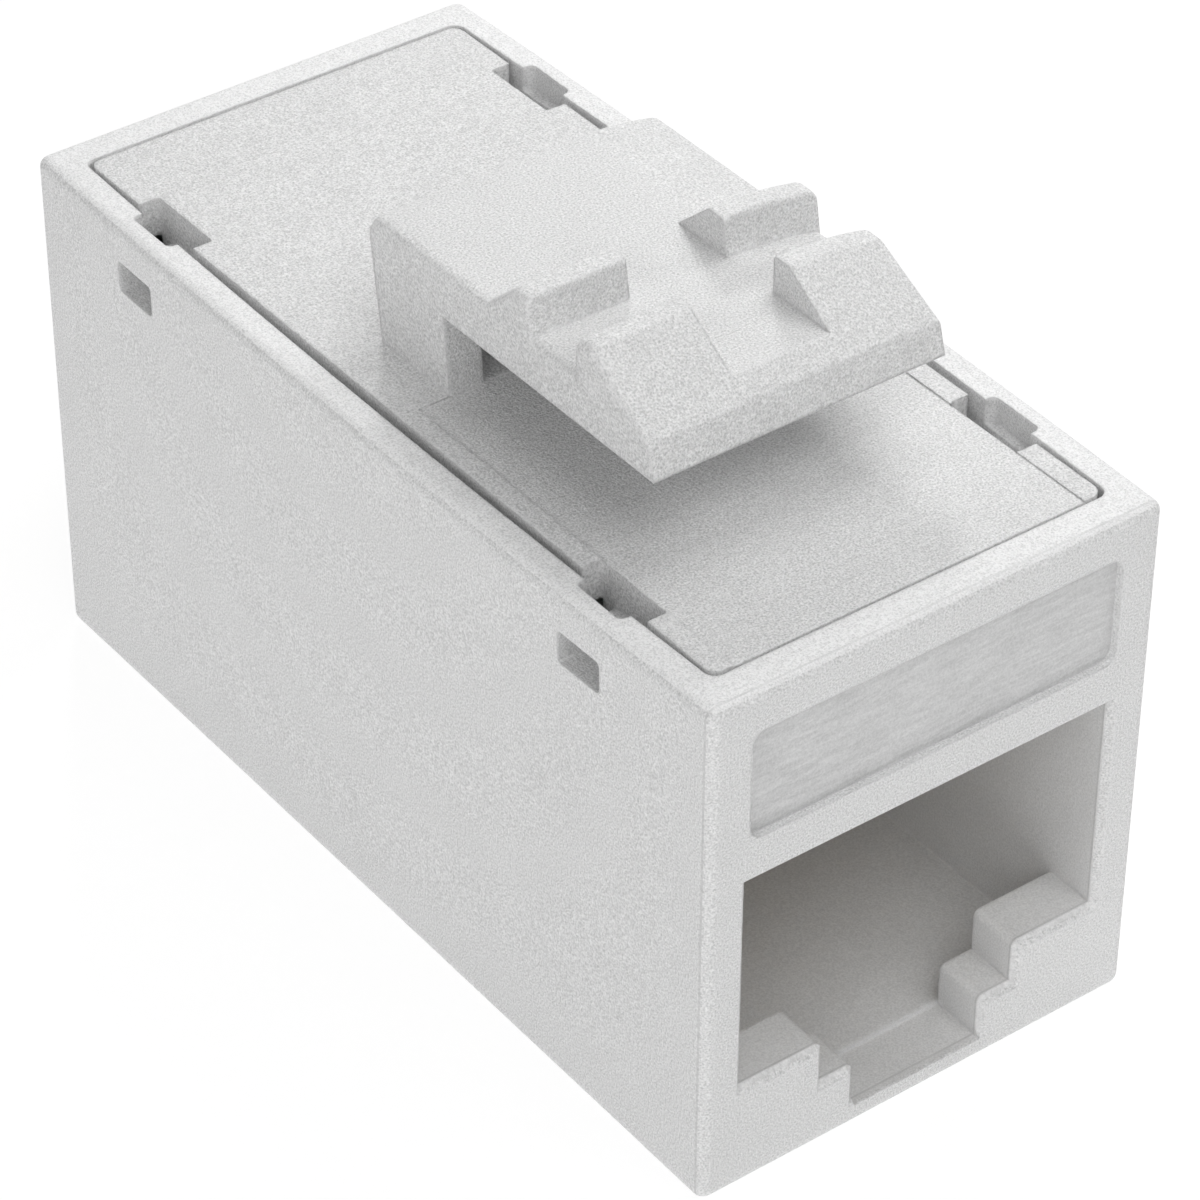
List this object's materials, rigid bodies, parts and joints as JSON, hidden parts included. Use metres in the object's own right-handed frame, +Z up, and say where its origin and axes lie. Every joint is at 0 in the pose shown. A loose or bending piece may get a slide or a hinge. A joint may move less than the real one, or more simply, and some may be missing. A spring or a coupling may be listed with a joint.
{
  "type": "inline network coupler",
  "caption": "Straight-through coupler: a moulded housing with an eight-way modular plug socket at each end and a snap-in latch arm on its cover for a rectangular panel opening.",
  "frame": {"origin": "centre of the base, on the surface it stands on", "axes": "+X across the sockets to the right as seen from the labelled end, +Y from the labelled end to the plain end, +Z up to the latch arm"},
  "size_m": [0.015, 0.0308, 0.0212],
  "materials": {
    "housing_plastic": "fine spark-eroded grain, white",
    "cover_plastic": "fine spark-eroded grain, white",
    "carrier_plastic": "smooth off-white moulding",
    "board_laminate": "green lacquered glass-fibre laminate",
    "contact_metal": "gold-plated spring wire",
    "solder": "bright tin"
  },
  "bodies": {
    "root": {"housing": "housing_plastic", "top_cover": "cover_plastic", "front_contact_carrier": "carrier_plastic", "rear_contact_carrier": "carrier_plastic", "circuit_board": "board_laminate", "front_contact_1": "contact_metal", "front_contact_2": "contact_metal", "front_contact_3": "contact_metal", "front_contact_4": "contact_metal", "front_contact_5": "contact_metal", "front_contact_6": "contact_metal", "front_contact_7": "contact_metal", "front_contact_8": "contact_metal", "rear_contact_1": "contact_metal", "rear_contact_2": "contact_metal", "rear_contact_3": "contact_metal", "rear_contact_4": "contact_metal", "rear_contact_5": "contact_metal", "rear_contact_6": "contact_metal", "rear_contact_7": "contact_metal", "rear_contact_8": "contact_metal", "solder_joints": "solder"}
  },
  "joints": []
}
